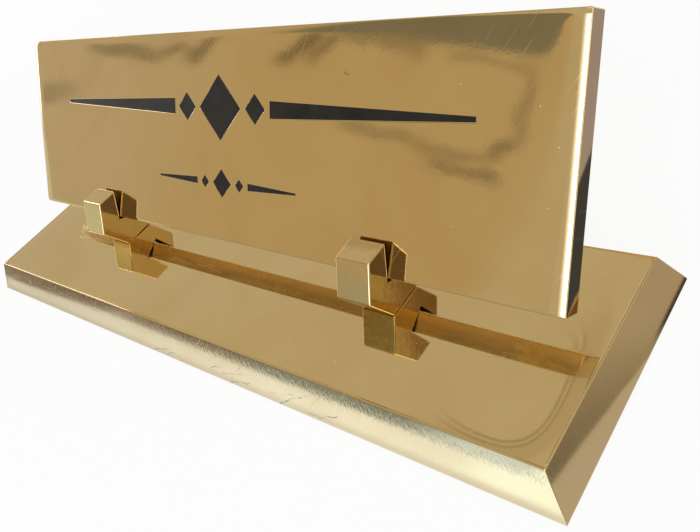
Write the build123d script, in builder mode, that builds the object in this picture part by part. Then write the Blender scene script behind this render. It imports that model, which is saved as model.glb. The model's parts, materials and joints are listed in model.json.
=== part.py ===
from build123d import *
from math import atan2, cos, degrees, radians, sin, sqrt
import os

# A desk name plate of polished brass: a bevelled slab, two slotted clips of hexagonal bar,
# and a loose engraved plate that leans back in the clips.
# Millimetres, +Z up, X along the plate, the reader at -Y.
# The origin is the middle of the underside, on the desk.

# Felt under the slab
felt_thickness = 1.0
felt_inset = 2.5  # from the slab's lower edge
felt_corner = 3.0

# Bevelled slab, measured at its underside
base_length = 260.0
base_depth = 73.0
base_thickness = 11.8
bevel_run = 5.0  # how far each side leans in from the underside to the top
base_top_round = 1.0
base_corner_round = 0.4
base_foot_round = 0.3

# Clips, slices of hexagonal bar that lie on one flat
hex_flats = 20.0
clip_length = 11.7
clip_spacing = 130.0
clip_offset = -2.0  # the pair stands a little to the left of the middle
clip_setback = 0.5  # and a little behind the middle
clip_round = 0.35

# Plate
plate_width = 236.0
plate_height = 65.0
plate_thickness = 6.0
plate_left_corner = 1.5
plate_right_corner = 0.4
plate_shift = 0.5  # it stands a little to the right of the middle
plate_lean = 34.5  # degrees back from upright
plate_round = 0.3

# How the plate stands in the slots
seat_height = 10.9  # the plate's lower front edge above the slab
seat_setback = 3.6  # and behind the front edge of the clip's foot
slot_rake = 9.5  # degrees by which the slot is steeper than the loose plate
slot_clearance = 0.1

# Screws up through the slab into the clips
screw_diameter = 4.0
screw_engagement = 4.5
screw_tip = 0.4
head_diameter = 7.5
head_sink = 0.2  # below the slab's underside
driver_slot_width = 1.2
driver_slot_depth = 0.9
slab_hole_clearance = 0.25  # radial
thread_clearance = 0.05  # radial, the thread is drawn plain
hole_spare = 1.0  # the tapped hole beyond the screw's end

# Engraved lines, filled with black enamel
engraving_depth = 0.5
enamel_dip = 0.1  # the filling lies this far below the plate's face
name_drop = 23.0  # the upper line below the plate's top edge
name_margin = 25.5  # and its ends from the plate's sides
name_lozenge = 20.0
name_bead = 9.0
name_rule_width = 5.0
title_rise = 18.5  # the lower line above the plate's bottom edge
title_margin = 84.5
title_lozenge = 9.0
title_bead = 4.0
title_rule_width = 2.2
ornament_gap = 2.0  # between the figures of a line
rule_end = 0.25  # a rule's outer end, as a share of its width

# Heights and the places along X
slab_top = felt_thickness + base_thickness
bevel_angle = degrees(atan2(bevel_run, base_thickness))
clip_places = {
    "left": clip_offset - clip_spacing / 2,
    "right": clip_offset + clip_spacing / 2,
}

# Section of a clip: the hexagon, the plate's lower edges and the slot around them
hex_side = hex_flats / sqrt(3)
foot_front = Vector(0, clip_setback - hex_side / 2, slab_top)
hex_top_rear = Vector(0, clip_setback + hex_side / 2, slab_top + hex_flats)
rear_face = Vector(0, sin(radians(30)), -cos(radians(30)))
slot_lean = plate_lean - slot_rake
plate_up = Vector(0, sin(radians(plate_lean)), cos(radians(plate_lean)))
plate_back = Vector(0, plate_up.Z, -plate_up.Y)
slot_up = Vector(0, sin(radians(slot_lean)), cos(radians(slot_lean)))
slot_back = Vector(0, slot_up.Z, -slot_up.Y)
plate_toe = foot_front + Vector(0, seat_setback, seat_height)
plate_heel = plate_toe + plate_back * plate_thickness

# The plate's heel stands on the slot's floor, its toe is against the front wall,
# and its back lies on the lip where the rear wall meets the hexagon's upper rear face.
back_foot = plate_heel + plate_back * slot_clearance
lip_height = (hex_top_rear - back_foot).cross(rear_face).X / plate_up.cross(rear_face).X
slot_lip = back_foot + plate_up * lip_height
slot_toe = plate_toe - slot_back * slot_clearance
slot_corner = slot_toe + slot_up * (plate_heel - slot_toe).dot(slot_up)
slot_width = (slot_lip - slot_toe).dot(slot_back)

plate_face = Plane(
    origin=plate_toe + Vector(plate_shift, 0, 0), x_dir=(1, 0, 0), z_dir=-plate_back
)
plate_normal = Axis(plate_toe, plate_back)

os.makedirs("parts", exist_ok=True)


def draw_line(height, reach, lozenge, bead, rule_width):
    # A lozenge in the middle, then a bead and a tapering rule to each side
    bead_place = lozenge / 2 + ornament_gap + bead / 2
    rule_start = bead_place + bead / 2 + ornament_gap
    rule_tip = rule_width * rule_end
    with Locations((0, height)):
        Rectangle(lozenge / sqrt(2), lozenge / sqrt(2), rotation=45)
        with PolarLocations(bead_place, 2):
            Rectangle(bead / sqrt(2), bead / sqrt(2), rotation=45)
        with PolarLocations(0, 2):
            Polygon(
                (rule_start, -rule_width / 2),
                (reach, -rule_tip / 2),
                (reach, rule_tip / 2),
                (rule_start, rule_width / 2),
                align=None,
            )


engraved_lines = {
    "name_rule_enamel": (
        plate_height - name_drop,
        plate_width / 2 - name_margin,
        name_lozenge,
        name_bead,
        name_rule_width,
    ),
    "title_rule_enamel": (
        title_rise,
        plate_width / 2 - title_margin,
        title_lozenge,
        title_bead,
        title_rule_width,
    ),
}


# Felt underlay
with BuildPart() as felt_underlay:
    with BuildSketch():
        RectangleRounded(
            base_length - 2 * felt_inset, base_depth - 2 * felt_inset, felt_corner
        )
    extrude(amount=felt_thickness)

felt_underlay.part.label = "felt_underlay"
export_step(felt_underlay.part, "parts/felt_underlay.step")


# Slab with leaning sides, drilled and countersunk from below
with BuildPart() as base:
    with BuildSketch(Plane.XY.offset(felt_thickness)):
        Rectangle(base_length, base_depth)
    extrude(amount=base_thickness, taper=bevel_angle)
    fillet(base.edges().group_by(Axis.Z)[-1], base_top_round)
    fillet(base.edges().group_by(Axis.Z)[1], base_corner_round)
    fillet(base.edges().group_by(Axis.Z)[0], base_foot_round)
    for place in clip_places.values():
        with Locations(Location((place, clip_setback, felt_thickness), (180, 0, 0))):
            CounterSinkHole(
                screw_diameter / 2 + slab_hole_clearance,
                head_diameter / 2 + slab_hole_clearance + head_sink,
                counter_sink_angle=90,
            )

base.part.label = "base"
export_step(base.part, "parts/base.step")


# Clips and their screws
for side, place in clip_places.items():
    clip_end = Plane(
        origin=(place - clip_length / 2, clip_setback, slab_top + hex_flats / 2),
        x_dir=(0, 1, 0),
        z_dir=(1, 0, 0),
    )
    slot_front = Plane(
        origin=slot_corner + Vector(place, 0, 0), x_dir=(1, 0, 0), z_dir=-slot_back
    )
    with BuildPart() as clip:
        with BuildSketch(clip_end):
            RegularPolygon(hex_flats / 2, 6, major_radius=False)
        extrude(amount=clip_length)
        with BuildSketch(slot_front):
            Rectangle(clip_length, 2 * hex_flats, align=(Align.CENTER, Align.MIN))
        extrude(amount=-slot_width, mode=Mode.SUBTRACT)
        fillet(clip.edges(), clip_round)
        with Locations(Location((place, clip_setback, slab_top), (180, 0, 0))):
            Hole(
                screw_diameter / 2 + thread_clearance,
                depth=screw_engagement + hole_spare,
            )

    clip.part.label = f"{side}_clip"
    export_step(clip.part, f"parts/{side}_clip.step")

    head_floor = felt_thickness + head_sink
    screw_length = base_thickness - head_sink + screw_engagement
    head_height = (head_diameter - screw_diameter) / 2
    screw_section = Plane(
        origin=(place, clip_setback, head_floor), x_dir=(1, 0, 0), z_dir=(0, -1, 0)
    )
    with BuildPart() as screw:
        with BuildSketch(screw_section):
            with BuildLine():
                Polyline(
                    (0, 0),
                    (head_diameter / 2, 0),
                    (screw_diameter / 2, head_height),
                    (screw_diameter / 2, screw_length - screw_tip),
                    (screw_diameter / 2 - screw_tip, screw_length),
                    (0, screw_length),
                    close=True,
                )
            make_face()
        revolve(axis=Axis((place, clip_setback, 0), (0, 0, 1)))
        with BuildSketch(Plane.XY.offset(head_floor)):
            with Locations((place, clip_setback)):
                Rectangle(head_diameter, driver_slot_width)
        extrude(amount=driver_slot_depth, mode=Mode.SUBTRACT)

    screw.part.label = f"{side}_clip_screw"
    export_step(screw.part, f"parts/{side}_clip_screw.step")


# Engraved plate
with BuildPart() as name_plate:
    with BuildSketch(plate_face) as outline:
        with Locations((0, plate_height / 2)):
            Rectangle(plate_width, plate_height)
        fillet(outline.vertices().group_by(Axis.X)[0], plate_left_corner)
        fillet(outline.vertices().group_by(Axis.X)[-1], plate_right_corner)
    extrude(amount=-plate_thickness)
    fillet(name_plate.edges().filter_by(plate_normal, reverse=True), plate_round)
    with BuildSketch(plate_face):
        for line in engraved_lines.values():
            draw_line(*line)
    extrude(amount=-engraving_depth, mode=Mode.SUBTRACT)

name_plate.part.label = "name_plate"
export_step(name_plate.part, "parts/name_plate.step")


# Black fillings of the engraved lines
for name, line in engraved_lines.items():
    with BuildPart() as enamel:
        with BuildSketch(plate_face.offset(-engraving_depth)):
            draw_line(*line)
        extrude(amount=engraving_depth - enamel_dip)

    enamel.part.label = name
    export_step(enamel.part, f"parts/{name}.step")
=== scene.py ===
import bmesh
import bpy
import json
import math
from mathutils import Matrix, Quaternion, Vector


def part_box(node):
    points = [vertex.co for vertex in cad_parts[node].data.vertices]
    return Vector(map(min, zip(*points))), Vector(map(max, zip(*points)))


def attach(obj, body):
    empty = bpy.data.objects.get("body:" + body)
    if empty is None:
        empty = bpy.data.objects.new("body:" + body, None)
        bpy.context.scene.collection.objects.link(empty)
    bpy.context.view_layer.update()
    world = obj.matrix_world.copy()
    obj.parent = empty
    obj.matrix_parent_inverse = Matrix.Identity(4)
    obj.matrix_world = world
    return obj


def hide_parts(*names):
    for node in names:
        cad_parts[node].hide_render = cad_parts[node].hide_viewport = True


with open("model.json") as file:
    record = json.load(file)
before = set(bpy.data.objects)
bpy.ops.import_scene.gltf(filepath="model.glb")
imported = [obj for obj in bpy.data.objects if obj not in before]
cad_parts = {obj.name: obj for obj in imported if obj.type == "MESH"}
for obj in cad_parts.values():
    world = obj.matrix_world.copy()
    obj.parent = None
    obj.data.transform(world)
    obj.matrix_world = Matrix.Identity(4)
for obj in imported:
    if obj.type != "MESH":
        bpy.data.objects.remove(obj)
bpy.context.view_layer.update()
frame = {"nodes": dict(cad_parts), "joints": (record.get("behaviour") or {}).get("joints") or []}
mm = 0.001
print("frame loaded:", len(frame["nodes"]), "nodes")


class Wire:
    # a node socket; sums on it add Math nodes to its tree
    def __init__(self, socket):
        self.socket = socket
        self.tree = socket.id_data

    def node(self, kind, settings=None, sockets=None, out=0):
        made = self.tree.nodes.new(kind)
        for name, value in (settings or {}).items():
            setattr(made, name, value)
        for key, value in (sockets or {}).items():
            links = value if isinstance(value, list) else [value]
            for link in links:
                if isinstance(link, Wire):
                    self.tree.links.new(link.socket, made.inputs[key])
                else:
                    made.inputs[key].default_value = link
        return Wire(made.outputs[out])

    def maths(self, operation, *values):
        return self.node("ShaderNodeMath", {"operation": operation}, dict(enumerate(values)))

    def __add__(self, other):
        return self.maths("ADD", self, other)

    def __sub__(self, other):
        return self.maths("SUBTRACT", self, other)

    def __rsub__(self, other):
        return self.maths("SUBTRACT", other, self)

    def __mul__(self, other):
        return self.maths("MULTIPLY", self, other)

    __radd__ = __add__
    __rmul__ = __mul__

    def ease(self, low, high):
        # 0 below low, 1 above high, smooth between; swapped limits turn it round
        steps = {"Value": self, "From Min": low, "From Max": high}
        return self.node("ShaderNodeMapRange", {"interpolation_type": "SMOOTHSTEP"}, steps)

    def mixColour(self, first, second):
        return self.node("ShaderNodeMix", {"data_type": "RGBA"}, {0: self, 6: first, 7: second}, 2)

    def absolute(self):
        return self.maths("ABSOLUTE", self)

    def along(self, direction):
        # how far a vector reaches along a direction
        return self.node("ShaderNodeVectorMath", {"operation": "DOT_PRODUCT"}, {0: self, 1: direction}, 1)

    def axis(self, index):
        return self.node("ShaderNodeSeparateXYZ", None, {0: self}, index)

    def stretch(self, scale, turn=(0, 0, 0)):
        # turned back first, then scaled along the turned axes
        sockets = {"Vector": self, "Rotation": turn, "Scale": tuple(1 / s for s in scale)}
        return self.node("ShaderNodeMapping", {"vector_type": "TEXTURE"}, sockets)

    def noise(self, scale, detail=2.0, rough=0.5, warp=0.0):
        grain = {"Vector": self, "Scale": scale, "Detail": detail, "Roughness": rough, "Distortion": warp}
        return self.node("ShaderNodeTexNoise", None, grain)

    def bump(self, height, distance):
        # self is the normal of the bump below
        relief = {"Height": height, "Distance": distance, "Normal": self}
        return self.node("ShaderNodeBump", None, relief)

    def atLeast(self, floor):
        # 0 becomes the floor, and 1 stays
        return floor + (1 - floor) * self

    def geometry(self, out):
        return self.node("ShaderNodeNewGeometry", None, None, out)

    def into(self, node, name):
        self.tree.links.new(self.socket, node.inputs[name])


def newObject(name, data):
    made = bpy.data.objects.new(name, data)
    bpy.context.scene.collection.objects.link(made)
    return made


def newMaterial(name, **fixed):
    made = bpy.data.materials.new(name)
    made.use_nodes = True
    shader = made.node_tree.nodes["Principled BSDF"]
    for socket, value in fixed.items():
        shader.inputs[socket.replace("_", " ")].default_value = value
    spot = Wire(made.node_tree.nodes.new("ShaderNodeTexCoord").outputs["Object"])
    return made, shader, spot


# Brass: polished faces with faint waves, a fine peel, hairlines, pits and dust
brass = {
    "tone": (0.74, 0.57, 0.28, 1),
    "deepTone": (0.7, 0.52, 0.24, 1),
    "dust": (0.92, 0.85, 0.65, 1),
    "cloudScale": 26,
    "waveScale": 42,
    "peelScale": 900,
    "grainScale": 2400,
    "grainShare": 0.6,  # of the peel's height
    "hairScale": (60, 2200, 60),
    "pitScale": 160,
    "pitDepth": 0.02 * mm,
    "dustScale": 290,
    "dustPatchScale": 38,
    # what each mark adds to the roughness
    "hairRough": 0.12,
    "pitRough": 0.1,
    "dustRough": 0.4,
    "cutEdge": (0.08 * mm, 0.04 * mm),  # from a cut face, where its finish starts and is full
}


def polishOn(spot, finish, hairTurn):
    # colour, roughness and normal of a buffed face
    cloud = spot.noise(brass["cloudScale"], 4, 0.6, 0.6).ease(0.35, 0.75)
    hair = spot.stretch(brass["hairScale"], hairTurn).noise(1, 1).ease(0.66, 0.74)
    pit = spot.noise(brass["pitScale"], 1, 0.4).ease(0.76, 0.82)
    speck = spot.node("ShaderNodeTexVoronoi", None, {"Vector": spot, "Scale": brass["dustScale"]})
    dust = speck.ease(0.05, 0.03) * spot.noise(brass["dustPatchScale"], 2).ease(0.5, 0.6)
    colour = cloud.mixColour(brass["tone"], brass["deepTone"])
    colour = dust.mixColour(colour, brass["dust"])
    rough = finish["polish"] + finish["haze"] * cloud + brass["hairRough"] * hair
    rough = rough + brass["pitRough"] * pit + brass["dustRough"] * dust
    normal = spot.geometry("Normal")
    normal = normal.bump(spot.noise(brass["waveScale"], 1), finish["waves"])
    normal = normal.bump(spot.noise(brass["peelScale"], 2), finish["peel"])
    normal = normal.bump(spot.noise(brass["grainScale"], 2), brass["grainShare"] * finish["peel"])
    normal = normal.bump(1 - pit, brass["pitDepth"])
    return colour, rough, normal


def finishBrass(shader, colour, rough, normal):
    colour.into(shader, "Base Color")
    rough.into(shader, "Roughness")
    normal.into(shader, "Normal")


def stroke(spot, start, end, upwards, widths, soft, sway=0.0):
    # a soft line between two points (across, up): 1 on it, 0 beside it and past its ends
    run = end - start
    way = run.normalized()
    right = Vector((1, 0, 0))
    along = spot.along(right * way.x + upwards * way.y) - way.dot(start)
    off = spot.along(upwards * way.x - right * way.y) - (way.x * start.y - way.y * start.x) + sway
    line = off.absolute().ease(*widths) * along.ease(-soft, soft)
    return line * along.ease(run.length + soft, run.length - soft)


def makePiece(name, bm, material, body, slot, *nodes):
    bmesh.ops.recalc_face_normals(bm, faces=bm.faces)
    mesh = bpy.data.meshes.new(name)
    bm.to_mesh(mesh)
    bm.free()
    mesh.shade_smooth()
    mesh.materials.append(material)
    return dressPiece(newObject(name, mesh), body, slot, *nodes)


def dressPiece(piece, body, slot, *nodes):
    # wide faces keep their own normal, so that the polish stays flat up to the soft edges
    flat = piece.modifiers.new("flat", "WEIGHTED_NORMAL")
    flat.weight = 100
    flat.keep_sharp = True
    bakePiece(piece)
    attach(piece, body)
    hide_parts(*nodes)
    print("piece made:", piece.name, len(piece.data.polygons), "faces")
    return piece


def bakePiece(piece):
    bpy.context.view_layer.update()
    graph = bpy.context.evaluated_depsgraph_get()
    mesh = bpy.data.meshes.new_from_object(piece.evaluated_get(graph), depsgraph=graph)
    piece.modifiers.clear()
    piece.data = mesh


def strips(bm, rows, sharp=False):
    # quads between closed rows of points
    for lower, upper in zip(rows, rows[1:]):
        for i in range(len(lower)):
            face = bm.faces.new((lower[i - 1], lower[i], upper[i], upper[i - 1]))
            if sharp:
                face.edges[0].smooth = face.edges[2].smooth = False


def fillFlat(bm, outline, holes, normal):
    edges = []
    for row in [outline, *holes]:
        for i in range(len(row)):
            edges.append(bm.edges.get((row[i - 1], row[i])) or bm.edges.new((row[i - 1], row[i])))
    bmesh.ops.triangle_fill(bm, use_beauty=True, edges=edges, normal=normal)


def ringOf(bm, place, points, height):
    return [bm.verts.new(place(u, v, height)) for u, v in points]


def circle(centre, radius, count):
    turns = [2 * math.pi * i / count for i in range(count)]
    return [(centre[0] + radius * math.cos(t), centre[1] + radius * math.sin(t)) for t in turns]


def edgeProfile(block, depth):
    # (inset, height) from the rear face, round its edge, up the side and over the front edge
    rear, front, lean = block["rearRound"], block["frontRound"], block["lean"]
    rearSteps, frontSteps = 4, 6
    points = []
    for i in range(rearSteps + 1):
        turn = math.radians(-90) + (lean + math.radians(90)) * i / rearSteps
        points.append((rear * (1 - math.cos(turn)), rear * (1 + math.sin(turn))))
    topTurn = math.radians(90) - block["edgeSlope"]
    straight = depth - front * (math.sin(topTurn) - math.sin(lean)) - points[-1][1]
    inset = points[-1][0] + straight * math.tan(lean)
    for i in range(frontSteps + 1):
        turn = lean + (topTurn - lean) * i / frontSteps
        across = inset + front * (math.cos(lean) - math.cos(turn))
        points.append((across, depth - front * (math.sin(topTurn) - math.sin(turn))))
    return points


def polishedBlock(bm, place, halfWidth, halfHeight, depth, block, frontHoles, rearHoles):
    # a slab whose front face falls away a little towards its edges
    profile = edgeProfile(block, depth)
    inset, power = profile[-1][0], block["rollPower"]
    rows = block["rows"]
    closer, later = 1.6, 6  # rows lie closer near the edge, and the falls come in late up the side
    steps = [(i / rows) ** closer for i in range(rows + 1)]

    def lines(half, low, high):
        return [-half + low[0] * s for s in steps] + [half - high[0] * s for s in reversed(steps)]

    def fall(at, half, low, high):
        lowShare = max(0, 1 - (half + at) / low[0])
        highShare = max(0, 1 - (half - at) / high[0])
        return low[1] * lowShare ** power + high[1] * highShare ** power

    acrossRolls = halfWidth - inset, block["rolls"]["left"], block["rolls"]["right"]
    upRolls = halfHeight - inset, block["rolls"]["bottom"], block["rolls"]["top"]
    us, vs = lines(*acrossRolls), lines(*upRolls)
    last = len(us) - 1
    grid = {}
    for i, u in enumerate(us):
        for j, v in enumerate(vs):
            grid[i, j] = bm.verts.new(place(u, v, depth - fall(u, *acrossRolls) - fall(v, *upRolls)))
    for i in range(last):
        for j in range(last):
            if (i, j) != (rows, rows):
                bm.faces.new((grid[i, j], grid[i + 1, j], grid[i + 1, j + 1], grid[i, j + 1]))
    around = [(i, 0) for i in range(last)] + [(last, j) for j in range(last)]
    around += [(last - i, last) for i in range(last)] + [(0, last - j) for j in range(last)]

    def columnPoint(i, j, k):
        # the border of the front face, grown to the profile and eased into its falls
        u = us[i] * (halfWidth - profile[k][0]) / (halfWidth - inset)
        v = vs[j] * (halfHeight - profile[k][0]) / (halfHeight - inset)
        sag = fall(us[i], *acrossRolls) + fall(vs[j], *upRolls)
        return place(u, v, profile[k][1] - sag * (k / (len(profile) - 1)) ** later)

    columns = [[bm.verts.new(columnPoint(i, j, k)) for i, j in around] for k in range(len(profile) - 1)]
    columns.append([grid[spot] for spot in around])
    strips(bm, columns)
    near, far = rows, last - rows
    middle = [grid[near, near], grid[far, near], grid[far, far], grid[near, far]]
    outward = place(0, 0, 1) - place(0, 0, 0)
    fillFlat(bm, middle, frontHoles, outward)
    fillFlat(bm, columns[0], rearHoles, -outward)


# Slab, on its felt, with a screw hole under each clip
slab = {
    "rearRound": 0.3 * mm,
    "lean": math.atan(5 / 11.8),  # the sides lean in 5 mm over the slab's height
    "frontRound": 0.8 * mm,
    "edgeSlope": math.radians(4),
    "rollPower": 3,
    "rolls": {side: (14 * mm, 0.36 * mm) for side in ("left", "right", "bottom", "top")},  # width, fall
    "rows": 14,
    "bore": 2.25 * mm,
    "sink": 4.2 * mm,
    "holeSides": 32,
    "polish": 0.035,
    "haze": 0.02,
    "waves": 0.02 * mm,
    "peel": 0.001 * mm,
    "hairTurn": (0, 0, 0.4),
    # brushed sides, from below the top edge; the long ones most in a band near the top, where their
    # darker hatch is also a painted reflection of the dark floor beyond
    "sideReach": (0.5 * mm, 0.8 * mm),
    "bandReach": (5 * mm, 3 * mm),
    "mitre": 0.2 * mm,
    "brushScale": (1400, 1400, 150),
    "brushTurn": (0, -0.25, 0),
    "brushDepth": 0.012 * mm,
    "brushRough": 0.04,
    "brushLow": 0.25,  # share left below the band
    # darker hatch: brushing marks, and painted reflection in the band near the top
    "hatchAndPaintedReflection": (0.36, 0.32, 0.22, 1),
    "hatchScale": (2800, 2800, 110),
    "hatchRough": 0.15,
    "hatchLow": 0.12,
    "hatchShare": 0.5,
    "endScale": (900, 50, 900),
    "endShare": 0.3,
    # scratches on the front side: start and end (along, up; mm), depth
    "scratches": [
        ((44, 1.2), (48.6, 4.5), 1.0),
        ((48.6, 4.5), (56.5, 7.5), 0.6),
        ((55, 1.9), (60.5, 2.3), 0.5),
        ((60.5, 2.3), (66.5, 4.8), 0.7),
        ((21.5, 1.2), (31.5, 4.1), 0.7),
        ((19, 3.6), (29, 6.1), 0.4),
        ((40, 3.5), (50.5, 6.1), 0.4),
        ((13.5, 3.8), (19.5, 6), 0.5),
        ((-18.5, 1.5), (-7, 4.7), 0.5),
        ((-11.5, 1.5), (-5, 3.8), 0.5),
    ],
    "scratch": (0.2, 0.16, 0.17, 1),
    "scratchRough": 0.2,
    "scratchWidths": (0.24 * mm, 0.06 * mm),  # to each side, where it starts and is full
    "scratchEnd": 0.4 * mm,
    "scratchWearScale": 500,
    "scratchLeast": 0.3,
    "sway": 2.4 * mm,
    "swayScale": 260,
}
slabLow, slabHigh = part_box("base")
clipBoxes = {side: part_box(side + "_clip") for side in ("left", "right")}
clipMiddle = {side: (low + high) / 2 for side, (low, high) in clipBoxes.items()}


def slabScratches(spot):
    # thin and swaying, on the front side alone
    sway = (spot.noise(slab["swayScale"], 3, 0.6) - 0.5) * slab["sway"]
    upwards = Vector((0, 0, 1))
    made = 0.0
    for start, end, depth in slab["scratches"]:
        ends = Vector(start) * mm, Vector(end) * mm
        line = stroke(spot, *ends, upwards, slab["scratchWidths"], slab["scratchEnd"], sway)
        made = line.maths("MAXIMUM", line * depth, made)
    wear = spot.noise(slab["scratchWearScale"], 2).ease(0.4, 0.55)
    made = made * wear.atLeast(slab["scratchLeast"])
    return made * spot.maths("LESS_THAN", spot.axis(1), 0)


def slabBrass():
    made, shader, spot = newMaterial("slab_brass", Metallic=1.0)
    colour, rough, normal = polishOn(spot, slab, slab["hairTurn"])
    # the long sides are brushed up and down, the short ones along
    drop = slabHigh.z - spot.axis(2)
    side = drop.ease(*slab["sideReach"])
    band = drop.ease(*slab["bandReach"])
    fromEnd = slabHigh.x - spot.axis(0).absolute()
    fromLong = slabHigh.y - spot.axis(1).absolute()
    longSide = (fromEnd - fromLong).ease(-slab["mitre"], slab["mitre"])
    brush = spot.stretch(slab["brushScale"], slab["brushTurn"]).noise(1, 2).ease(0.3, 0.7)
    drawn = spot.stretch(slab["endScale"]).noise(1, 2)
    hatchAndPaintedReflection = spot.stretch(slab["hatchScale"], slab["brushTurn"]).noise(1, 1).ease(0.5, 0.64)
    hatchAndPaintedReflection = hatchAndPaintedReflection * side * longSide * band.atLeast(slab["hatchLow"])
    relief = longSide * brush * band.atLeast(slab["brushLow"])
    relief = relief + (1 - longSide) * (slab["endShare"] * drawn)
    normal = normal.bump(side * relief, slab["brushDepth"])
    scratch = slabScratches(spot) * side * longSide
    # the darker hatch: brushing marks, and painted reflection of the dark floor beyond, most in the band
    # near the top
    colour = (slab["hatchShare"] * hatchAndPaintedReflection).mixColour(colour, slab["hatchAndPaintedReflection"])
    colour = scratch.mixColour(colour, slab["scratch"])
    rough = rough + side * (slab["brushRough"] * (1 + brush))
    rough = rough + slab["hatchRough"] * hatchAndPaintedReflection + slab["scratchRough"] * scratch
    finishBrass(shader, colour, rough, normal)
    return made


def makeSlab():
    bm = bmesh.new()
    depth = slabHigh.z - slabLow.z

    def place(u, v, w):
        return Vector((u, v, slabLow.z + w))

    topHoles, rearHoles = [], []
    for middle in clipMiddle.values():
        neck = slab["sink"] - slab["bore"]
        bore = circle(middle, slab["bore"], slab["holeSides"])
        rings = [ringOf(bm, place, circle(middle, slab["sink"], slab["holeSides"]), 0)]
        rings += [ringOf(bm, place, bore, height) for height in (neck, depth)]
        strips(bm, rings, True)
        rearHoles.append(rings[0])
        topHoles.append(rings[2])
    polishedBlock(bm, place, slabHigh.x, slabHigh.y, depth, slab, topHoles, rearHoles)
    makePiece("slab", bm, slabBrass(), "stand", "base_brass", "base")


# Plate, leaning in the clips, engraved with two plain ornaments
plate = {
    "height": 65 * mm,
    "thickness": 6 * mm,
    "leftCorner": 1.5 * mm,
    "rightCorner": 0.4 * mm,
    "rearRound": 0.3 * mm,
    "lean": 0,
    "frontRound": 0.3 * mm,
    "edgeSlope": math.radians(4),
    "rollPower": 4,
    "rolls": {
        "left": (6 * mm, 0.18 * mm),
        "right": (8.4 * mm, 0.42 * mm),
        "bottom": (1.5 * mm, 0.05 * mm),
        "top": (3 * mm, 0.1 * mm),
    },
    "rows": 14,
    "engraving": 0.5 * mm,
    "rimWidth": 0.36 * mm,
    "rimDepth": 0.1 * mm,
    "rimSteps": 4,
    "polish": 0.04,
    "haze": 0.03,
    "waves": 0.04 * mm,
    "peel": 0.003 * mm,
    "hairSlant": math.radians(55),
    # the foot as it was sawn, paler to the rear, with one pale patch
    "sawn": (0.84, 0.78, 0.66, 1),
    "sawnDeep": (0.58, 0.52, 0.42, 1),
    "sawnRear": (0.99, 0.86, 0.64, 1),
    "rearReach": (-1 * mm, 3 * mm),  # back from the middle of the thickness
    "sawScale": (70, 500, 500),
    "sawnRough": 0.2,
    "sawMarkRough": 0.15,
    "palePatchAt": 103.5 * mm,
    "palePatchReach": (5 * mm, 3 * mm),  # to each side, where it starts and is full
    "palePatchScale": 330,
}
ornament = {
    "gap": 2 * mm,
    "ruleEnd": 0.25,  # a rule's outer end, as a share of its width
    "lines": {
        "name_rule": {"up": 9.5, "reach": 92.5, "lozenge": 20, "bead": 9, "rule": 5},
        "title_rule": {"up": -14, "reach": 33.5, "lozenge": 9, "bead": 4, "rule": 2.2},
    },
}
plateLow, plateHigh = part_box("name_plate")
plateUp = Vector(frame["joints"][0]["axis"])
plateOut = Vector((0, -plateUp.z, plateUp.y))
plateMiddle = (plateLow + plateHigh) / 2


def onPlate(u, v, w):
    # u along the plate, v up it, w out of its front face, which is at 0
    return plateMiddle + Vector((u, 0, 0)) + plateUp * v + plateOut * (plate["thickness"] / 2 + w)


def lozengeAt(u, v, size):
    half = size / 2
    return [(u + half, v), (u, v + half), (u - half, v), (u, v - half)]


def figures(line):
    # a lozenge in the middle, a bead and a tapering rule to each side
    up, lozenge, bead = line["up"] * mm, line["lozenge"] * mm, line["bead"] * mm
    beadPlace = lozenge / 2 + ornament["gap"] + bead / 2
    start = beadPlace + bead / 2 + ornament["gap"]
    wide, tip = line["rule"] * mm / 2, line["rule"] * mm * ornament["ruleEnd"] / 2
    rule = [(start, -wide), (line["reach"] * mm, -tip), (line["reach"] * mm, tip), (start, wide)]
    made = [lozengeAt(0, up, lozenge)]
    for side in (1, -1):
        made.append(lozengeAt(side * beadPlace, up, bead))
        made.append([(side * u, up + side * v) for u, v in rule])
    return made


def grow(points, by):
    # the outline of a convex figure, moved outwards
    moved = []
    for i in range(len(points)):
        before, here, after = (Vector(points[k % len(points)]) for k in (i - 1, i, i + 1))
        first, second = (here - before).normalized(), (after - here).normalized()
        outA, outB = Vector((first.y, -first.x)), Vector((second.y, -second.x))
        moved.append(tuple(here + (outA + outB) * by / (1 + outA.dot(outB))))
    return moved


def roundCorner(u, v, halfWidth, halfHeight):
    # squeezes the outline's square corners into round ones
    corner = plate["leftCorner"] if u < 0 else plate["rightCorner"]
    a = max(0, abs(u) - halfWidth + corner) / corner
    b = max(0, abs(v) - halfHeight + corner) / corner
    across = abs(u) - corner * a * (1 - math.sqrt(1 - b * b / 2))
    upwards = abs(v) - corner * b * (1 - math.sqrt(1 - a * a / 2))
    return math.copysign(across, u), math.copysign(upwards, v)


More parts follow.
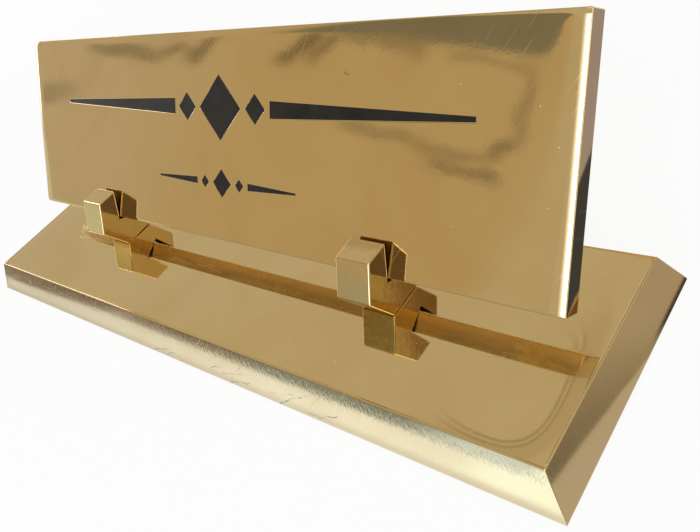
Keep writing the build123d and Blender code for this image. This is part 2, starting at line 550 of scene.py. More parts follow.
def plateBrass():
    made, shader, spot = newMaterial("plate_brass", Metallic=1.0)
    slant = plate["hairSlant"]
    acrossHairs = plateUp * math.cos(slant) - Vector((math.sin(slant), 0, 0))
    hairTurn = Vector((0, 1, 0)).rotation_difference(acrossHairs).to_euler()
    colour, rough, normal = polishOn(spot, plate, hairTurn)
    foot = plateUp.dot(plateMiddle) - plate["height"] / 2
    under = (spot.along(plateUp) - foot).ease(*brass["cutEdge"])
    saw = spot.stretch(plate["sawScale"]).noise(1, 3, 0.6).ease(0.35, 0.65)
    rear = (plateOut.dot(plateMiddle) - spot.along(plateOut)).ease(*plate["rearReach"])
    # a pale patch near the foot's right end
    palePatch = (spot.axis(0) - plate["palePatchAt"]).absolute().ease(*plate["palePatchReach"])
    palePatch = palePatch * spot.noise(plate["palePatchScale"], 1).ease(0.45, 0.5)
    cut = saw.mixColour(plate["sawn"], plate["sawnDeep"])
    cut = rear.mixColour(cut, plate["sawnRear"])
    cut = palePatch.mixColour(cut, brass["dust"])
    colour = under.mixColour(colour, cut)
    rough = rough + under * (plate["sawnRough"] + plate["sawMarkRough"] * saw)
    finishBrass(shader, colour, rough, normal)
    return made


def makePlate():
    bm = bmesh.new()
    holes = []
    for line in ornament["lines"].values():
        for figure in figures(line):
            rings = []
            for step in range(plate["rimSteps"] + 1):
                turn = math.radians(90) * step / plate["rimSteps"]
                outline = grow(figure, plate["rimWidth"] * (1 - math.sin(turn)))
                rings.append(ringOf(bm, onPlate, outline, -plate["rimDepth"] * (1 - math.cos(turn))))
            rings.append(ringOf(bm, onPlate, figure, -plate["engraving"]))
            strips(bm, rings)
            bm.faces.new(rings[-1])
            holes.append(rings[0])
    halfWidth = (plateHigh.x - plateLow.x) / 2

    def place(u, v, w):
        return onPlate(*roundCorner(u, v, halfWidth, plate["height"] / 2), w - plate["thickness"])

    polishedBlock(bm, place, halfWidth, plate["height"] / 2, plate["thickness"], plate, holes, [])
    makePiece("plate", bm, plateBrass(), "plate", "plate_brass", "name_plate")


# Enamel, drawn up a little along the engraved walls
enamel = {
    "levels": [(0, 0.07), (-0.1, 0.1), (-0.28, 0.125), (-0.55, 0.135)],  # outline and depth, mm
    "tipShare": 0.8,  # how far in a thin tip's outline may go
    "deep": (0.005, 0.005, 0.003, 1),
    "pale": (0.018, 0.016, 0.011, 1),
    "rough": 0.24,
    "blotchRough": 0.25,
    "blotchScale": 160,
    "grainScale": 900,
    "grainDepth": 0.05 * mm,
}


def blackEnamel():
    made, shader, spot = newMaterial("black_enamel", Specular_IOR_Level=0.2)
    blotch = spot.noise(enamel["blotchScale"], 2)
    blotch.mixColour(enamel["deep"], enamel["pale"]).into(shader, "Base Color")
    (enamel["rough"] + enamel["blotchRough"] * blotch).into(shader, "Roughness")
    grain = spot.noise(enamel["grainScale"], 3, 0.6)
    spot.geometry("Normal").bump(grain, enamel["grainDepth"]).into(shader, "Normal")
    return made


def makeEnamel():
    material = blackEnamel()
    for name, line in ornament["lines"].items():
        bm = bmesh.new()
        for figure in figures(line):
            rings = [ringOf(bm, onPlate, figure, -plate["engraving"])]
            narrow = min((Vector(a) - Vector(b)).length for a, b in zip(figure, figure[1:])) / 2
            for out, depth in enamel["levels"]:
                outline = grow(figure, max(out * mm, -enamel["tipShare"] * narrow))
                rings.append(ringOf(bm, onPlate, outline, -depth * mm))
            strips(bm, rings)
            bm.faces.new(rings[0])
            bm.faces.new(rings[-1])
        makePiece(name + "_filling", bm, material, "plate", "black_enamel", name + "_enamel")


# Clips, slices of hexagonal bar with a leaning slot and a tapped hole, from one node tree
clip = {
    "flats": 20 * mm,
    "slotClearance": 0.1 * mm,
    "slotRake": math.radians(9.5),  # how much steeper the slot is than the plate
    "tapRadius": 2.05 * mm,
    "tapDepth": 5.5 * mm,
    "tapSides": 32,
    "edgeRound": 0.5 * mm,
    "edgeSteps": 4,
    "polish": 0.07,
    "haze": 0.05,
    "waves": 0.02 * mm,
    "peel": 0.002 * mm,
    "hairTurn": (0, 0, 0.3),
    "mottleScale": 620,
    "mottleDepth": 0.006 * mm,
    "mottleRough": 0.05,
    # the slot, left dull from the cutter, and darkened with painted shade where the plate sits in it
    "milledAndShade": (0.26, 0.19, 0.1, 1),
    "milledRough": 0.35,
    # painted shade on the lower flats, which are rougher too, of which the left clip keeps a share
    "drawn": (0.42, 0.36, 0.17, 1),
    "drawnRough": 0.1,
    "drawnLeft": 0.1,
    "drawnLeast": 0.65,
    "drawnTilt": (-0.3, -0.45),  # a face's normal, upwards, where the painted shade starts and is full
}


def clipBrass(slotCorner, slotUp, slotWidth):
    made, shader, spot = newMaterial("clip_brass", Metallic=1.0)
    colour, rough, normal = polishOn(spot, clip, clip["hairTurn"])
    mottle = spot.noise(clip["mottleScale"], 3, 0.6).ease(0.35, 0.7)
    slotBack = Vector((0, slotUp.z, -slotUp.y))
    depth = spot.along(slotBack) - slotBack.dot(slotCorner)
    rise = spot.along(slotUp) - slotUp.dot(slotCorner)
    far, near = brass["cutEdge"]
    # the slot's walls and floor: painted shade, on a dull milled finish
    milledAndShade = depth.ease(-far, -near) * depth.ease(slotWidth + far, slotWidth + near)
    milledAndShade = milledAndShade * rise.ease(-far, -near)
    rightClip = spot.maths("GREATER_THAN", spot.axis(0), 0)
    # painted shade on faces turned downwards, mostly on the right clip, with more roughness there
    drawn = spot.geometry("Normal").axis(2).ease(*clip["drawnTilt"])
    drawn = drawn * rightClip.atLeast(clip["drawnLeft"])
    colour = mottle.mixColour(colour, brass["deepTone"])
    colour = (drawn * mottle.atLeast(clip["drawnLeast"])).mixColour(colour, clip["drawn"])
    # painted shade in the slot
    colour = milledAndShade.mixColour(colour, clip["milledAndShade"])
    rough = rough + clip["mottleRough"] * mottle
    rough = rough + clip["drawnRough"] * drawn + clip["milledRough"] * milledAndShade
    finishBrass(shader, colour, rough, normal.bump(mottle, clip["mottleDepth"]))
    return made


def newTree(name, inputs):
    tree = bpy.data.node_groups.new(name, "GeometryNodeTree")
    for title, kind in inputs.items():
        tree.interface.new_socket(title, in_out="INPUT", socket_type="NodeSocket" + kind)
    tree.interface.new_socket("Geometry", in_out="OUTPUT", socket_type="NodeSocketGeometry")
    entry = tree.nodes.new("NodeGroupInput")
    return tree, {title: Wire(entry.outputs[title]) for title in inputs}


def closeTree(tree, shape, material):
    real = shape.node("GeometryNodeRealizeInstances", None, {"Geometry": shape})
    real = real.node("GeometryNodeSetMaterial", None, {"Geometry": real, "Material": material})
    real.into(tree.nodes.new("NodeGroupOutput"), 0)


def growPiece(name, tree, values, start=None):
    # an object whose mesh comes from a node tree
    piece = newObject(name, start or bpy.data.meshes.new(name))
    modifier = piece.modifiers.new("shape", "NODES")
    modifier.node_group = tree
    for item in tree.interface.items_tree:
        if item.name in values:
            modifier[item.identifier] = values[item.name]
    bakePiece(piece)
    return piece


def hexBarTree(material):
    tree, size = newTree("hex_bar_clip", {
        "Middle": "Vector", "Flats": "Float", "Length": "Float",
        "Slot Middle": "Vector", "Slot Size": "Vector", "Slot Lean": "Float",
        "Tap Middle": "Vector", "Tap Radius": "Float", "Tap Depth": "Float",
    })

    def put(shape, middle, turn):
        moved = {"Geometry": shape, "Translation": middle, "Rotation": turn}
        return shape.node("GeometryNodeTransform", None, moved)

    root = size["Middle"]
    bar = {"Vertices": 6, "Radius": size["Flats"] * (1 / math.sqrt(3)), "Depth": size["Length"]}
    bar = put(root.node("GeometryNodeMeshCylinder", None, bar), root, (math.pi / 2, 0, math.pi / 2))
    lean = root.node("ShaderNodeCombineXYZ", None, {"X": size["Slot Lean"]})
    slot = root.node("GeometryNodeMeshCube", None, {"Size": size["Slot Size"]})
    slot = put(slot, size["Slot Middle"], lean)
    tap = {"Vertices": clip["tapSides"], "Radius": size["Tap Radius"], "Depth": size["Tap Depth"]}
    tap = put(root.node("GeometryNodeMeshCylinder", None, tap), size["Tap Middle"], (0, 0, 0))
    cut = {"operation": "DIFFERENCE", "solver": "EXACT"}
    shape = root.node("GeometryNodeMeshBoolean", cut, {"Mesh 1": bar, "Mesh 2": [slot, tap]})
    closeTree(tree, shape, material)
    return tree


def slotPlace(middle):
    # the plate's toe is against the front wall, its heel on the floor and its back on the rear lip
    plateBack = -plateOut
    toe = onPlate(0, -plate["height"] / 2, 0)
    heel = toe + plateBack * plate["thickness"]
    lean = math.atan2(plateUp.y, plateUp.z) - clip["slotRake"]
    up = Vector((0, math.sin(lean), math.cos(lean)))
    back = Vector((0, up.z, -up.y))
    backFoot = heel + plateBack * clip["slotClearance"]
    upperRear = Vector((0, middle.y + clip["flats"] / math.sqrt(12), middle.z + clip["flats"] / 2))
    rearFace = Vector((0, math.sin(math.radians(30)), -math.cos(math.radians(30))))
    reach = (upperRear - backFoot).cross(rearFace).x / plateUp.cross(rearFace).x
    lip = backFoot + plateUp * reach
    front = toe - back * clip["slotClearance"]
    corner = front + up * (heel - front).dot(up)
    width = (lip - front).dot(back)
    return corner, up, width


def makeClips():
    middleZ = clipBoxes["left"][0].z + clip["flats"] / 2
    corner, up, width = slotPlace(Vector((0, clipMiddle["left"].y, middleZ)))
    tall = 2 * clip["flats"]
    slotMiddle = corner + up * tall / 2 + Vector((0, up.z, -up.y)) * width / 2
    tree = hexBarTree(clipBrass(corner, up, width))
    for side, (low, high) in clipBoxes.items():
        middle = Vector((clipMiddle[side].x, clipMiddle[side].y, middleZ))
        piece = growPiece(side + "_clip_bar", tree, {
            "Middle": middle,
            "Flats": clip["flats"],
            "Length": high.x - low.x,
            "Slot Middle": Vector((middle.x, slotMiddle.y, slotMiddle.z)),
            "Slot Size": Vector((2 * clip["flats"], width, tall)),
            "Slot Lean": -math.atan2(up.y, up.z),
            "Tap Middle": Vector((middle.x, middle.y, low.z)),
            "Tap Radius": clip["tapRadius"],
            "Tap Depth": 2 * clip["tapDepth"],
        })
        piece.data.shade_smooth()
        soften = piece.modifiers.new("soften", "BEVEL")
        soften.width = clip["edgeRound"]
        soften.segments = clip["edgeSteps"]
        soften.limit_method = "ANGLE"
        dressPiece(piece, "stand", "clip_brass", side + "_clip")


# Felt under the slab, with loose fibres along its cut edge
felt = {
    "corner": 3 * mm,
    "cornerSteps": 8,
    "edgeStep": 1.5 * mm,
    "wander": 0.12 * mm,
    "puff": 0.12 * mm,  # the cut edge's rounding
    "fibreLength": 0.32 * mm,
    "fibreWidth": 0.03 * mm,
    "fibreFloor": 0.2 * mm,  # none grows from lower faces
    "fibresPerArea": 2.2e6,
    "fibreTilt": 0.6,  # none grows from faces that lie flatter
    "fibreSway": 0.25,
    "fibreShortest": 0.4,
    "seed": 5,
    "dark": (0.012, 0.035, 0.02, 1),
    "light": (0.035, 0.085, 0.05, 1),
    "tuftScale": 700,
    "tuftDepth": 0.15 * mm,
    "mattedScale": 60,
}
feltLow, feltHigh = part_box("felt_underlay")


def greenFelt():
    made, shader, spot = newMaterial("green_felt", Roughness=0.95, Sheen_Weight=0.4)
    tuft = spot.noise(felt["tuftScale"], 4, 0.7)
    matted = spot.noise(felt["mattedScale"], 3)
    shade = (tuft * 0.6 + matted * 0.4).ease(0.3, 0.7)
    shade.mixColour(felt["dark"], felt["light"]).into(shader, "Base Color")
    spot.geometry("Normal").bump(tuft, felt["tuftDepth"]).into(shader, "Normal")
    return made


def feltOutline():
    # round corners, and points along the straight edges between them
    corner, steps = felt["corner"], felt["cornerSteps"]
    arcs = []
    for quarter, (sx, sy) in enumerate(((1, 1), (-1, 1), (-1, -1), (1, -1))):
        x, y = sx * (feltHigh.x - corner), sy * (feltHigh.y - corner)
        turns = [math.radians(90) * (quarter + i / steps) for i in range(steps + 1)]
        arcs.append([Vector((x + corner * math.cos(t), y + corner * math.sin(t))) for t in turns])
    points = []
    for arc, following in zip(arcs, arcs[1:] + arcs[:1]):
        start, end = arc[-1], following[0]
        count = int((end - start).length / felt["edgeStep"])
        points += arc + [start.lerp(end, i / count) for i in range(1, count)]
    return points


def makeFelt():
    material = greenFelt()
    bm = bmesh.new()
    outline = feltOutline()
    thick = feltHigh.z - feltLow.z
    puff = felt["puff"]
    rings = []
    levels = [(puff, 0), (puff / 4, puff), (0, thick / 2), (puff / 4, thick - puff), (puff, thick)]
    for inset, height in levels:
        ring = []
        for i, (x, y) in enumerate(outline):
            # cut by hand, so it wavers along the edge and up it
            waver = 0.3 * math.sin(i * 0.9) + 0.2 * math.sin(i * 2.3 + 4 * height / mm)
            toMiddle = Vector((x, y)).normalized() * (inset + felt["wander"] * (0.5 + waver))
            ring.append(bm.verts.new((x - toMiddle.x, y - toMiddle.y, feltLow.z + height)))
        rings.append(ring)
    strips(bm, rings)
    bm.faces.new(rings[0])
    bm.faces.new(rings[-1])
    sheet = makePiece("felt_sheet", bm, material, "stand", "felt", "felt_underlay")
    fibres = makeFibres(sheet, material)


def makeFibres(sheet, material):
    tree, size = newTree("felt_fibres", {
        "Geometry": "Geometry", "Density": "Float", "Length": "Float",
        "Width": "Float", "Floor": "Float", "Seed": "Int",
    })
    root = size["Length"]
    flatness = root.node("GeometryNodeInputNormal").axis(2).absolute()
    height = root.node("GeometryNodeInputPosition").axis(2)
    edge = root.maths("LESS_THAN", flatness, felt["fibreTilt"])
    edge = edge * root.maths("GREATER_THAN", height, size["Floor"])
    spread = {
        "Mesh": size["Geometry"], "Selection": edge,
        "Density": size["Density"], "Seed": size["Seed"],
    }
    points = root.node("GeometryNodeDistributePointsOnFaces", {"distribute_method": "RANDOM"}, spread)
    outwards = Wire(points.socket.node.outputs["Rotation"])
    strand = {"Vertices": 3, "Radius Top": 0.0, "Radius Bottom": size["Width"], "Depth": size["Length"]}
    strand = root.node("GeometryNodeMeshCone", None, strand)
    most = felt["fibreSway"]
    sway = {0: (-most, -most, 0), 1: (most, most, 2 * math.pi), "Seed": size["Seed"]}
    sway = root.node("FunctionNodeRandomValue", {"data_type": "FLOAT_VECTOR"}, sway)
    sway = root.node("FunctionNodeEulerToRotation", None, {"Euler": sway})
    turn = {"Rotation": outwards, "Rotate By": sway}
    turn = root.node("FunctionNodeRotateRotation", {"rotation_space": "LOCAL"}, turn)
    length = {2: felt["fibreShortest"], 3: 1.0, "Seed": size["Seed"]}
    length = root.node("FunctionNodeRandomValue", {"data_type": "FLOAT"}, length, 1)
    planted = {"Points": points, "Instance": strand, "Rotation": turn, "Scale": length}
    closeTree(tree, root.node("GeometryNodeInstanceOnPoints", None, planted), material)
    made = growPiece("felt_fibres", tree, {
        "Density": felt["fibresPerArea"],
        "Length": felt["fibreLength"],
        "Width": felt["fibreWidth"],
        "Floor": felt["fibreFloor"],
        "Seed": felt["seed"],
    }, sheet.data.copy())
    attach(made, "stand")
    print("piece made:", made.name, len(made.data.polygons), "faces")
    return made


# Screws, hidden by the felt, as the CAD made them
screw = {
    "dark": (0.55, 0.55, 0.57, 1),
    "light": (0.68, 0.68, 0.69, 1),
    "turningScale": (300, 300, 4000),
    "rough": 0.25,
    "turningRough": 0.2,
}


def screwSteel():
    made, shader, spot = newMaterial("screw_steel", Metallic=1.0)
    turning = spot.stretch(screw["turningScale"]).noise(1, 2)
    turning.mixColour(screw["dark"], screw["light"]).into(shader, "Base Color")
    (screw["rough"] + screw["turningRough"] * turning).into(shader, "Roughness")
    return made


def dressScrews():
    steel = screwSteel()
    for side in clipBoxes:
        mesh = frame["nodes"][side + "_clip_screw"].data
        mesh.materials.clear()
        mesh.materials.append(steel)
    print("screws dressed")


makeSlab()
makePlate()
makeEnamel()
makeClips()
makeFelt()
dressScrews()


# Camera, at the photograph's place and tilt
camera = {
    "aim": Vector((42.9, 7.9, 12.8)) * mm,
    "distance": 218 * mm,
    "azimuth": math.radians(54.33),
    "elevation": math.radians(37.67),
    "roll": math.radians(-27.6),
    "lens": 37.236,
    "sensor": 36,
    "nearest": 1 * mm,
}


def direction(azimuth, elevation):
    # azimuth from the reader's side towards +X
    level = math.cos(elevation)
    return Vector((math.sin(azimuth) * level, -math.cos(azimuth) * level, math.sin(elevation)))


def makeCamera():
    data = bpy.data.cameras.new("camera")
    data.lens = camera["lens"]
    data.sensor_width = camera["sensor"]
    data.clip_start = camera["nearest"]
    eye = newObject("camera", data)
    back = direction(camera["azimuth"], camera["elevation"])
    eye.location = camera["aim"] + back * camera["distance"]
    eye.rotation_mode = "QUATERNION"
    eye.rotation_quaternion = (-back).to_track_quat("-Z", "Y") @ Quaternion((0, 0, 1), camera["roll"])
    bpy.context.scene.camera = eye
    print("camera placed")


# Studio: pale floor, soft lamps, and glowing cards that the brass mirrors, painted with light and shade
# for it to reflect
# "from" is azimuth and elevation in degrees, and the distance
studio = {
    "floorHalf": 3.0,
    "floorLevel": -0.02 * mm,
    "floorColour": (0.8, 0.8, 0.8, 1),
    "whiteShare": 0.9,  # of the floor's own white near the object
    "whiteReach": (0.25, 0.8),
    "upper": (0.63, 0.58, 0.5, 1),
    "horizon": (1, 1, 1, 1),
    "horizonReach": (0.03, 0.2),  # upwards, from the horizon's colour to the upper one
    "lamps": {
        "front": {"from": (15.2, 27, 0.8), "size": (0.47, 0.65), "glow": 3.0, "tint": (0.95, 1, 1.35)},
        "left": {"from": (-86, 20, 0.9), "size": (0.2, 0.45), "glow": 4.0, "tint": (1, 1, 1.2)},
        "top": {"from": (60, 70, 1.2), "size": (0.8, 0.8), "glow": 1.6, "tint": (1, 1, 1)},
    },
}
cards = {
    "grey_wall": {"from": (-42, 4, 1.4), "size": (1.7, 0.3), "glow": (0.46, 0.47, 0.45)},
    "left_wall": {"from": (-64, 4, 1.35), "size": (0.4, 0.3), "glow": (0.69, 0.76, 0.66)},
    "dark_corner": {"from": (53, 10, 1.2), "size": (0.75, 0.4), "glow": (0.18, 0.15, 0.14)},
    "dark_rear": {"from": (144.5, 40, 1.2), "size": (0.59, 0.5), "glow": (0.25, 0.18, 0.15)},
    "rear_white": {"centre": (-0.27, 0.124, 0), "size": (0.3, 0.08), "glow": (1.3, 1.6, 2.4)},
}
# fine slats beside the plate's right end, dark above and clear below and edgeways: a dark sheet standing
# for the floor's shadow that the plate's right end mirrors
sideBlind = {
    "centre": (0.1299, 0.031, 0.0195),
    "turn": -7.4,
    "width": 10.8 * mm,
    "length": 68 * mm,
    "heading": math.radians(60.6),  # of each slat's fall, from the front towards the right
    "slope": math.radians(53.2),  # of each slat, from level
    "slatWidth": 0.85 * mm,
    "pitch": 0.5 * mm,
    "glow": (0.062, 0.07, 0.09, 1),
}
# places are in metres, and each pair is where a colour starts and is full
frontFloor = {
    "centre": (-0.045, -0.2, 0),
    "size": (0.44, 0.326),
    # colours from left to right
    "near": [(0.86, 0.92, 1.06, 1), (-0.15, 0.11), (1.25, 1.45, 2, 1)],
    "far": [
        (0.24, 0.19, 0.15, 1), (-0.04, 0.03), (0.28, 0.34, 0.42, 1), (0.062, 0.092),
        (0.9, 1.15, 1.7, 1), (0.106, 0.112), (1.4, 1.75, 2.4, 1),
    ],
    # painted shade along the slab's foot, and a painted bright patch before its right corner
    "foot": (0.4, 0.4, 0.4, 1),
    "corner": (1.4, 1.75, 2.4, 1),
    "cornerAcross": (0.09, 0.106),
    "cornerOut": (0.04, 0.047),
    "footShadeOut": (0.046, 0.041),
    "footShadeShare": 0.3,
    "patchScale": (30, 6, 1),
    "patchAcross": (0, -0.06),
    "patchShare": 0.7,
    "edge": 0.0575,  # from near to far, closer by a dip at the left
    "edgeBlur": (-0.002, 0.002),
    "dip": 0.006,
    "dipAcross": (-0.05, -0.16),
}
rightFloor = {
    "centre": (0.216, 0.1, 0.01 * mm),
    "size": (0.17, 0.32),
    "lit": (0.6, 0.58, 0.62, 1),
    # colours from front to rear
    "back": [
        (0.24, 0.225, 0.21, 1), (-0.02, 0.035), (0.5, 0.45, 0.42, 1), (0.05, 0.09),
        (0.42, 0.38, 0.47, 1),
    ],
    "shadow": (0.07, 0.065, 0.08, 1),
    "wave": 0.006,
    "waveScale": 45,
    "litSlant": 0.53,
    "litAcross": (0.1435, 0.1415),
    "litBack": (0.018, 0.012),
    "shadowAcross": (0.136, 0.134),
    "shadowStart": (0.014, 0.026),
    "shadowEnd": (0.048, 0.044),
}
canopy = {
    "from": (-46, 27, 1.2),
    "size": (1.3, 0.9),
    # colours from left to right
    "across": [
        (0.595, 0.525, 0.45, 1), (-0.45, -0.1), (0.577, 0.473, 0.332, 1), (0.36, 0.46),
        (0.6, 0.54, 0.44, 1),
    ],
    "shade": (0.25, 0.24, 0.22, 1),
    "foldShade": (0.12, 0.1, 0.07, 1),
    # the shaded panel's lower edge rises to the right, and its right edge leans
    "panelFoot": 0.144,
    "panelRise": 0.315,
    "panelBlur": (-0.006, 0.006),
    "panelLean": 0.27,
    "panelPivot": 0.24,
    "panelRight": (0.31, 0.298),
    "panelLeft": (-0.22, -0.12),
    "wander": 0.05,
    "wanderScale": 14,
    "creaseScale": 190,
    "creaseLeast": 0.45,
    # painted shade along folds of the cloth: start, end, half width, depth
    "foldShades": [
        ((-0.48, -0.09), (-0.35, -0.06), 0.022, 0.7),
        ((-0.35, -0.06), (-0.32, -0.01), 0.016, 0.8),
        ((-0.3, -0.04), (-0.27, 0.02), 0.022, 0.9),
        ((-0.14, 0.02), (-0.1, 0.1), 0.02, 1.0),
        ((-0.09, 0.05), (-0.07, 0.12), 0.018, 0.8),
        ((-0.07, 0.12), (0.08, 0.16), 0.022, 0.6),
        ((0.08, 0.14), (0.09, 0.18), 0.022, 0.6),
        ((0.14, 0.17), (0.3, 0.21), 0.018, 0.4),
        ((0.3, 0.21), (0.33, 0.08), 0.02, 0.5),
        ((0.33, 0.08), (0.29, 0.02), 0.025, 0.7),
        ((0.29, 0.02), (0.01, -0.03), 0.02, 0.5),
        ((0.2, -0.02), (0.33, -0.01), 0.02, 0.7),
        ((-0.56, -0.24), (-0.49, -0.19), 0.03, 0.5),
    ],
}
cornerShade = {
    "centre": (-0.1, 0.2, 0.413),
    "size": (0.34, 0.4),
    "reach": (0.084, 0.108),
    "rings": (0.86, 1.0),
    "line": 0.06,  # half width, as a share of the reach
    "shade": (0.44, 0.38, 0.29, 1),
    "beyond": (0.56, 0.5, 0.41, 1),
    "toCorner": (0.9, -0.4, 0),
    "cornerReach": (-0.04, 0.05),
    "beyondStart": (1, 1.08),  # as shares of the reach
    "beyondEnd": (1.6, 1.3),
}
softEdge = {
    "from": (-3.7, 27, 0.8),
    "size": (0.075, 0.65),
    "dim": (0.6, 0.54, 0.44, 1),
    "bright": (1.5, 1.55, 1.8, 1),
}


def putUp(thing, spec):
    # lying flat at its centre, or turned to face the object from its direction and distance
    if "centre" in spec:
        thing.location = spec["centre"]
        thing.rotation_euler.z = math.radians(spec.get("turn", 0))
        return
    azimuth, elevation, distance = spec["from"]
    back = direction(math.radians(azimuth), math.radians(elevation))
    thing.location = back * distance
    thing.rotation_mode = "QUATERNION"
    thing.rotation_quaternion = back.to_track_quat("Z", "Y")


def makeLamps():
    for name, spec in studio["lamps"].items():
        lamp = bpy.data.lights.new(name, "AREA")
        lamp.shape = "RECTANGLE"
        lamp.size, lamp.size_y = spec["size"]
        lamp.energy = spec["glow"] * math.pi * lamp.size * lamp.size_y
        lamp.color = spec["tint"]
        putUp(newObject(name, lamp), spec)


def sheetMesh(name, wide, tall, level):
    mesh = bpy.data.meshes.new(name)
    corners = [(x * wide / 2, y * tall / 2, level) for x, y in ((-1, -1), (1, -1), (1, 1), (-1, 1))]
    mesh.from_pydata(corners, [], [(0, 1, 2, 3)])
    return mesh


def makeCard(name, spec, material, mesh=None):
    # only the brass sees it
    mesh = mesh or sheetMesh(name, *spec["size"], 0)
    mesh.materials.append(material)
    card = newObject(name, mesh)
    putUp(card, spec)
    card.visible_camera = card.visible_shadow = card.visible_diffuse = False


def glowMaterial(name, colour):
    fixed = {"Base_Color": (0, 0, 0, 1), "Specular_IOR_Level": 0, "Emission_Strength": 1.0}
    return newMaterial(name, Emission_Color=colour, **fixed)


def blend(place, steps):
    # colours in turn, with the reach of the change between each two
    colour = steps[0]
    for reach, over in zip(steps[1::2], steps[2::2]):
        colour = place.ease(*reach).mixColour(colour, over)
    return colour


def makeFrontFloor():
    # bright close to the slab and duller beyond, brown to the left and silver to the right, with painted
    # shade along the slab's foot and a painted bright patch before its right corner
    ground = frontFloor
    made, shader, spot = glowMaterial("front_floor", ground["foot"])
    across = spot.axis(0) + ground["centre"][0]
    out = -ground["centre"][1] - spot.axis(1)
    near = blend(across, ground["near"])
    corner = across.ease(*ground["cornerAcross"]) * out.ease(*ground["cornerOut"])
    near = corner.mixColour(near, ground["corner"])
    # painted shade on the floor along the slab's foot
    near = (ground["footShadeShare"] * out.ease(*ground["footShadeOut"])).mixColour(near, ground["foot"])
    far = blend(across, ground["far"])
    patchy = spot.stretch(ground["patchScale"]).noise(1, 2).ease(0.56, 0.7)
    patchy = ground["patchShare"] * (patchy * across.ease(*ground["patchAcross"]))
    far = patchy.mixColour(far, ground["near"][0])
    edge = ground["edge"] - ground["dip"] * across.ease(*ground["dipAcross"])
    colour = (out - edge).ease(*ground["edgeBlur"]).mixColour(near, far)
    colour.into(shader, "Emission Color")
    makeCard("front_floor", ground, made)


def makeRightFloor():
    # a lit wedge beside the slab, duller beyond, and the slab's own shadow to the rear
    ground = rightFloor
    made, shader, spot = glowMaterial("right_floor", ground["lit"])
    across = spot.axis(0) + ground["centre"][0]
    back = spot.axis(1) + ground["centre"][1]
    colour = blend(back, ground["back"])
    wave = spot.noise(ground["waveScale"], 2) * ground["wave"]
    lit = (across + ground["litSlant"] * back + wave).ease(*ground["litAcross"])
    lit = lit * back.ease(*ground["litBack"])
    shadow = across.ease(*ground["shadowAcross"])
    shadow = shadow * back.ease(*ground["shadowStart"]) * back.ease(*ground["shadowEnd"])
    colour = lit.mixColour(colour, ground["lit"])
    shadow.mixColour(colour, ground["shadow"]).into(shader, "Emission Color")
    makeCard("right_floor", ground, made)


def makeCanopy():
    # a cloth overhead with a shaded panel and painted shade along soft folds
    made, shader, spot = glowMaterial("canopy", canopy["shade"])
    across, up = spot.axis(0), spot.axis(1)
    lower = (up - (canopy["panelFoot"] + canopy["panelRise"] * across)).ease(*canopy["panelBlur"])
    side = (across - canopy["panelLean"] * (up - canopy["panelPivot"])).ease(*canopy["panelRight"])
    side = side * across.ease(*canopy["panelLeft"])
    shift = {"Vector": spot, "Scale": canopy["wanderScale"], "Detail": 2}
    shift = spot.node("ShaderNodeTexNoise", None, shift, 1)
    shift = spot.node("ShaderNodeVectorMath", {"operation": "SUBTRACT"}, {0: shift, 1: (0.5, 0.5, 0.5)})
    wander = {0: shift, 1: (canopy["wander"], canopy["wander"], 0), 2: spot}
    cloth = spot.node("ShaderNodeVectorMath", {"operation": "MULTIPLY_ADD"}, wander)
    upwards = Vector((0, 1, 0))
    foldShades = 0.0
    # painted shade along the folds
    for start, end, width, depth in canopy["foldShades"]:
        foldShade = stroke(cloth, Vector(start), Vector(end), upwards, (width, 0.2 * width), width)
        foldShades = foldShade.maths("MAXIMUM", foldShade * depth, foldShades)
    crease = spot.noise(canopy["creaseScale"], 3, 0.6).ease(0.4, 0.58)
    foldShades = foldShades * crease.atLeast(canopy["creaseLeast"])
    colour = blend(across, canopy["across"])
    colour = foldShades.mixColour(colour, canopy["foldShade"])
    (lower * side).mixColour(colour, canopy["shade"]).into(shader, "Emission Color")
    makeCard("canopy", canopy, made)


def makeCornerShade():
    # two thin arcs overhead, for the front corner of the slab
    made, shader, spot = glowMaterial("corner_shade", studio["upper"])
    wide, deep = cornerShade["reach"]
    oval = spot.stretch((1 / wide, 1 / deep, 1))
    reach = spot.node("ShaderNodeVectorMath", {"operation": "LENGTH"}, {0: oval}, 1)
    arcs = 0.0
    for ring in cornerShade["rings"]:
        arc = (reach - ring).absolute().ease(cornerShade["line"], 0.3 * cornerShade["line"])
        arcs = arc.maths("MAXIMUM", arc, arcs)
    toCorner = spot.along(cornerShade["toCorner"]).ease(*cornerShade["cornerReach"])
    beyond = reach.ease(*cornerShade["beyondStart"]) * reach.ease(*cornerShade["beyondEnd"]) * toCorner
    colour = beyond.mixColour(studio["upper"], cornerShade["beyond"])
    (arcs * toCorner).mixColour(colour, cornerShade["shade"]).into(shader, "Emission Color")
    makeCard("corner_shade", cornerShade, made)


def makeSoftEdge():
    # light that fades beside the front lamp
    made, shader, spot = glowMaterial("soft_edge", softEdge["dim"])
    half = softEdge["size"][0] / 2
    fade = spot.axis(0).ease(-half, half)
    fade.mixColour(softEdge["dim"], softEdge["bright"]).into(shader, "Emission Color")
    makeCard("soft_edge", softEdge, made)


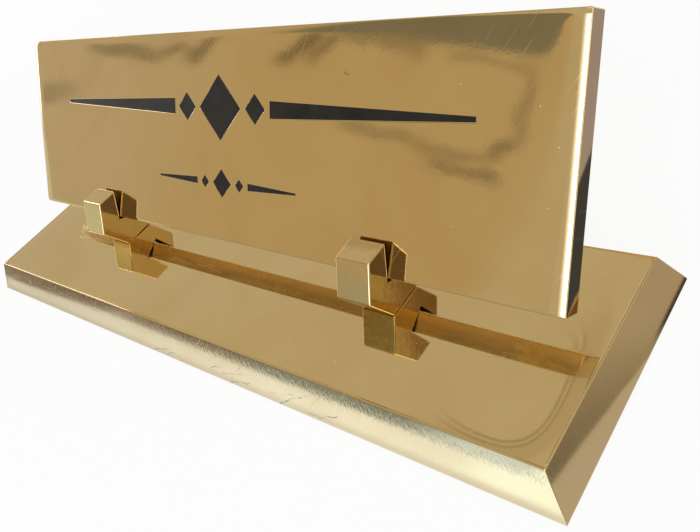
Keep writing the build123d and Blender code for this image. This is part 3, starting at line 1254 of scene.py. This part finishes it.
def makeSideBlind():
    # a dark sheet, painted shade for the plate's right end to mirror
    made, shader, spot = glowMaterial("side_blind", sideBlind["glow"])
    (1 - spot.geometry("Backfacing")).into(shader, "Alpha")
    half, end = sideBlind["width"] / 2, sideBlind["length"] / 2
    heading, slope = sideBlind["heading"], sideBlind["slope"]
    fall = Vector((math.sin(heading), -math.cos(heading), -math.tan(slope))).normalized()
    fall *= sideBlind["slatWidth"] / 2
    climb = math.tan(heading)
    step = sideBlind["pitch"] / math.cos(heading)
    corners = []
    for i in range(int(2 * (end + half * climb) / step)):
        # each slat crosses the blind on the slant and stops at its ends
        middle = (i + 0.5) * step - end - half * climb
        left = max(-half, (-end - middle) / climb)
        right = min(half, (end - middle) / climb)
        first = Vector((left, middle + climb * left, 0))
        last = Vector((right, middle + climb * right, 0))
        corners += [first - fall, first + fall, last + fall, last - fall]
    mesh = bpy.data.meshes.new("side_blind")
    mesh.from_pydata(corners, [], [range(i, i + 4) for i in range(0, len(corners), 4)])
    makeCard("side_blind", sideBlind, made, mesh)


def makeCards():
    for name, spec in cards.items():
        made, shader, spot = glowMaterial(name, (*spec["glow"], 1))
        makeCard(name, spec, made)
    makeFrontFloor()
    makeRightFloor()
    makeCanopy()
    makeCornerShade()
    makeSoftEdge()
    makeSideBlind()


def makeFloor():
    half = studio["floorHalf"]
    mesh = sheetMesh("floor", 2 * half, 2 * half, studio["floorLevel"])
    floor = newObject("floor", mesh)
    fixed = {"Base_Color": studio["floorColour"], "Specular_IOR_Level": 0}
    material, shader, spot = newMaterial("pale_floor", Roughness=1.0, **fixed)
    far = spot.node("ShaderNodeVectorMath", {"operation": "LENGTH"}, {0: spot}, 1)
    white = far.ease(*studio["whiteReach"]).atLeast(studio["whiteShare"])
    seen = 0.0
    for kind in ("Is Camera Ray", "Is Glossy Ray", "Is Transmission Ray"):
        ray = spot.node("ShaderNodeLightPath", None, None, kind)
        seen = ray.maths("MAXIMUM", ray, seen)
    glow = spot.node("ShaderNodeEmission", None, {"Color": (1, 1, 1, 1), "Strength": 1.0})
    lit = Wire(shader.outputs[0])
    mixed = spot.node("ShaderNodeMixShader", None, {0: white * seen, 1: lit, 2: glow})
    mixed.into(material.node_tree.nodes["Material Output"], "Surface")
    mesh.materials.append(material)


def makeWorld():
    world = bpy.data.worlds.new("studio")
    bpy.context.scene.world = world
    world.use_nodes = True
    look = Wire(world.node_tree.nodes.new("ShaderNodeTexCoord").outputs["Generated"])
    rise = look.axis(2).ease(*studio["horizonReach"])
    sky = rise.mixColour(studio["horizon"], studio["upper"])
    sky.into(world.node_tree.nodes["Background"], "Color")


makeCamera()
makeLamps()
makeCards()
makeFloor()
makeWorld()
bpy.context.scene.view_settings.view_transform = "Standard"
print("studio set")
